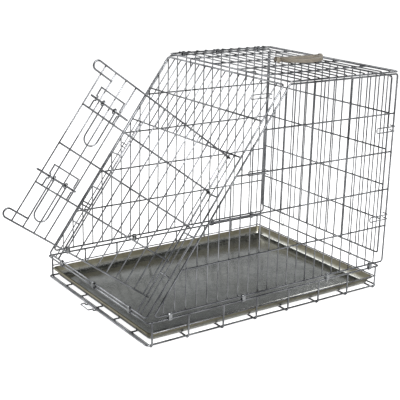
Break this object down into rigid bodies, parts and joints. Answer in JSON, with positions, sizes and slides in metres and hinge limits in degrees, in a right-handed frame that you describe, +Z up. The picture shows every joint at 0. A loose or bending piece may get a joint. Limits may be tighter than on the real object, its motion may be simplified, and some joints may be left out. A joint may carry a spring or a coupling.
{
  "type": "wire dog crate",
  "caption": "Fold-flat wire dog crate with a sloping front, side-hung front door with slide-bolt latches, lift-up top and slide-out metal tray.",
  "frame": {"origin": "centre of the base's underside, on the plane that the floor wires rest on", "axes": "+Z up, -Y towards the sloping front, +X towards the side the door is hung on"},
  "size_m": [0.5716, 1.1405, 0.7131],
  "materials": {
    "zinc_wire": "zinc-plated wire",
    "galvanised_sheet": "spangled galvanised sheet",
    "clip_steel": "bright rolled strip",
    "handle_plastic": "moulded, satin"
  },
  "bodies": {
    "base": {"base_frame": "zinc_wire", "right_hinge_clip_1": "clip_steel", "right_hinge_clip_2": "clip_steel", "right_hinge_clip_3": "clip_steel", "right_hinge_clip_4": "clip_steel", "left_hinge_clip_1": "clip_steel", "left_hinge_clip_2": "clip_steel", "left_hinge_clip_3": "clip_steel", "left_hinge_clip_4": "clip_steel", "front_hinge_clip_1": "clip_steel", "front_hinge_clip_2": "clip_steel", "front_hinge_clip_3": "clip_steel", "back_hinge_link_1": "clip_steel", "back_hinge_link_2": "clip_steel"},
    "tray": {"tray": "galvanised_sheet"},
    "tray_catch": {"tray_catch": "zinc_wire"},
    "right_side": {"right_side_panel": "zinc_wire", "right_rear_hook_1": "zinc_wire", "right_rear_hook_2": "zinc_wire"},
    "left_side": {"left_side_panel": "zinc_wire", "left_rear_hook_1": "zinc_wire", "left_rear_hook_2": "zinc_wire", "top_hinge_clip_1": "clip_steel", "top_hinge_clip_2": "clip_steel", "top_hinge_clip_3": "clip_steel"},
    "top": {"top_panel": "zinc_wire", "top_front_hook_1": "zinc_wire", "top_front_hook_2": "zinc_wire", "carry_handle_saddle_1": "handle_plastic", "carry_handle_saddle_2": "handle_plastic"},
    "carry_handle": {"carry_handle": "handle_plastic"},
    "back": {"back_panel": "zinc_wire"},
    "front": {"front_panel": "zinc_wire", "upper_keeper": "zinc_wire", "lower_keeper": "zinc_wire"},
    "door": {"door_panel": "zinc_wire", "upper_latch_guide": "zinc_wire", "lower_latch_guide": "zinc_wire"},
    "upper_bolt": {"upper_latch_bolt": "zinc_wire"},
    "upper_handle": {"upper_latch_handle": "zinc_wire"},
    "lower_bolt": {"lower_latch_bolt": "zinc_wire"},
    "lower_handle": {"lower_latch_handle": "zinc_wire"}
  },
  "joints": [
    {"name": "tray_slide", "type": "slide", "parent": "base", "child": "tray", "axis": [0, -1, 0], "range_m": [0, 0.7]},
    {"name": "tray_catch_turn", "type": "hinge", "parent": "base", "child": "tray_catch", "pos_m": [-0.018, -0.39, 0.0071], "axis": [1, 0, 0], "range_deg": [-112, 0]},
    {"name": "right_side_fold", "type": "hinge", "parent": "base", "child": "right_side", "pos_m": [0.28, 0, 0.08], "axis": [0, 1, 0], "range_deg": [0, 90]},
    {"name": "left_side_fold", "type": "hinge", "parent": "base", "child": "left_side", "pos_m": [-0.28, 0, 0.08], "axis": [0, -1, 0], "range_deg": [0, 90]},
    {"name": "top_lid", "type": "hinge", "parent": "left_side", "child": "top", "pos_m": [-0.28, 0.212, 0.632], "axis": [0, -1, 0], "range_deg": [0, 90]},
    {"name": "carry_handle_lift", "type": "hinge", "parent": "top", "child": "carry_handle", "pos_m": [0.03, 0.2595, 0.6456], "axis": [0, -1, 0], "range_deg": [0, 100]},
    {"name": "back_fold", "type": "hinge", "parent": "base", "child": "back", "pos_m": [0, 0.39, 0.106], "axis": [-1, 0, 0], "range_deg": [-90, 0]},
    {"name": "front_fold", "type": "hinge", "parent": "base", "child": "front", "pos_m": [0, -0.39, 0.078], "axis": [-1, 0, 0], "range_deg": [0, 53.9]},
    {"name": "door_swing", "type": "hinge", "parent": "front", "child": "door", "pos_m": [0.2249, -0.39, 0.078], "axis": [0, 0.5894, 0.8078], "range_deg": [-90, 50]},
    {"name": "upper_bolt_slide", "type": "slide", "parent": "door", "child": "upper_bolt", "axis": [0, -0.8078, 0.5894], "range_m": [-0.01, 0.014]},
    {"name": "lower_bolt_slide", "type": "slide", "parent": "door", "child": "lower_bolt", "axis": [0, -0.8078, 0.5894], "range_m": [-0.016, 0.01]},
    {"name": "upper_handle_lift", "type": "hinge", "parent": "upper_bolt", "child": "upper_handle", "pos_m": [0.2377, -0.47235, 0.60476], "axis": [0, -0.8078, 0.5894], "range_deg": [0, 100]},
    {"name": "lower_handle_lift", "type": "hinge", "parent": "lower_bolt", "child": "lower_handle", "pos_m": [0.2377, -0.59787, 0.44629], "axis": [0, -0.8078, 0.5894], "range_deg": [0, 100]}
  ]
}
